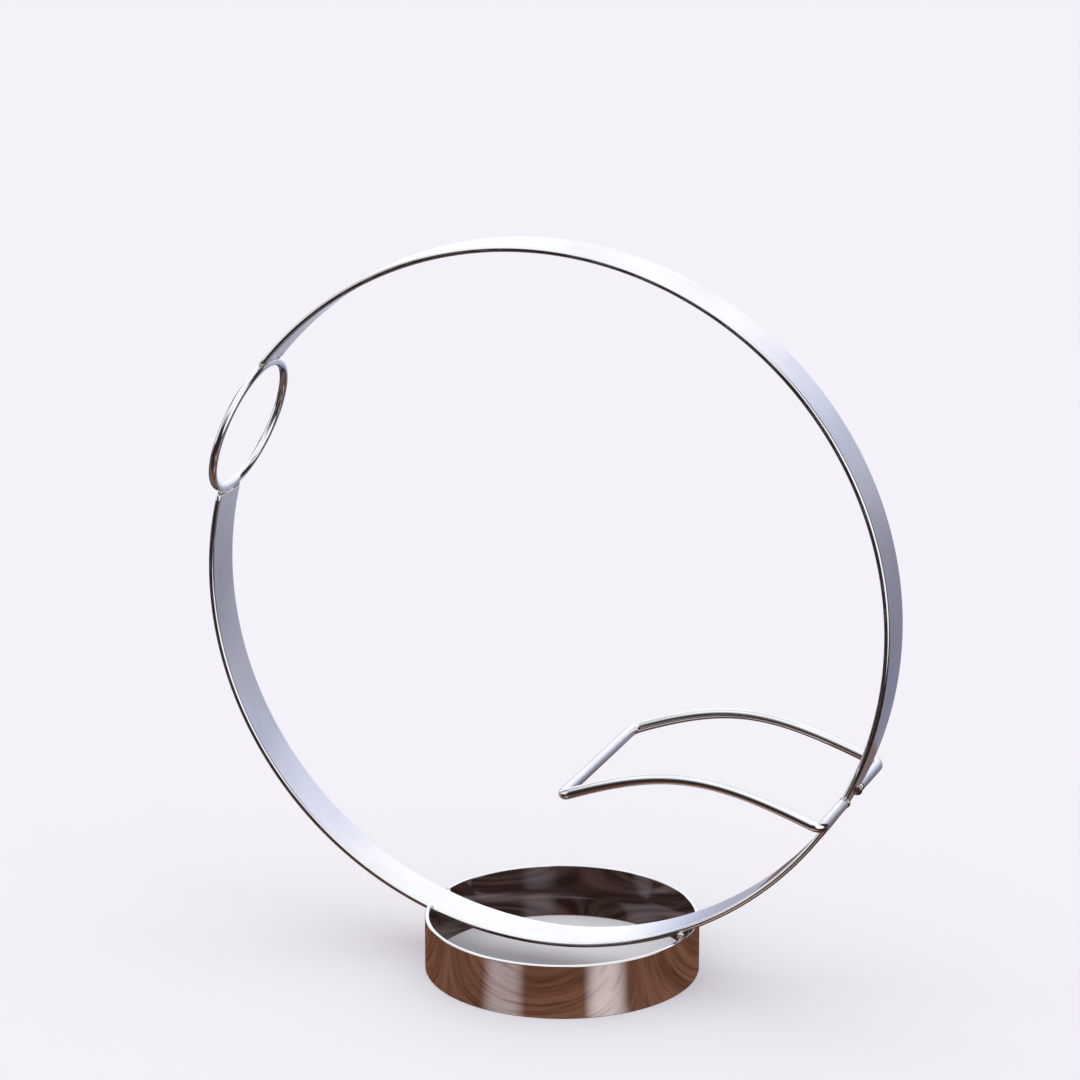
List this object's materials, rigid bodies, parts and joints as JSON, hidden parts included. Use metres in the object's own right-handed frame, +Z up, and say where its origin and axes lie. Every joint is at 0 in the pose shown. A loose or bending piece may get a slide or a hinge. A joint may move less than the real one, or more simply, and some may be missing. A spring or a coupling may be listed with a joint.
{
  "type": "single-bottle wine rack",
  "caption": "Plated steel wine rack: an upright open hoop on a round band, with a wire ring for the bottle's neck and a wire cradle for its body.",
  "frame": {"origin": "on the table, under the middle of the rack's own box", "axes": "+X from the neck ring towards the cradle, in the plane of the hoop; +Y across the strip, towards the rear; +Z up"},
  "size_m": [0.2496, 0.0968, 0.2605],
  "materials": {
    "plated_strip": "polished",
    "plated_wire": "polished",
    "plated_band": "polished",
    "weld_metal": "plated over rough weld"
  },
  "bodies": {
    "root": {"hoop_strip": "plated_strip", "neck_ring": "plated_wire", "cradle_wire": "plated_wire", "base_band": "plated_band", "rim_weld_left_front": "weld_metal", "rim_weld_left_rear": "weld_metal", "rim_weld_right_front": "weld_metal", "rim_weld_right_rear": "weld_metal", "ring_weld_upper_front": "weld_metal", "ring_weld_upper_rear": "weld_metal", "ring_weld_lower_front": "weld_metal", "ring_weld_lower_rear": "weld_metal", "cradle_weld_front": "weld_metal", "cradle_weld_rear": "weld_metal"}
  },
  "joints": []
}
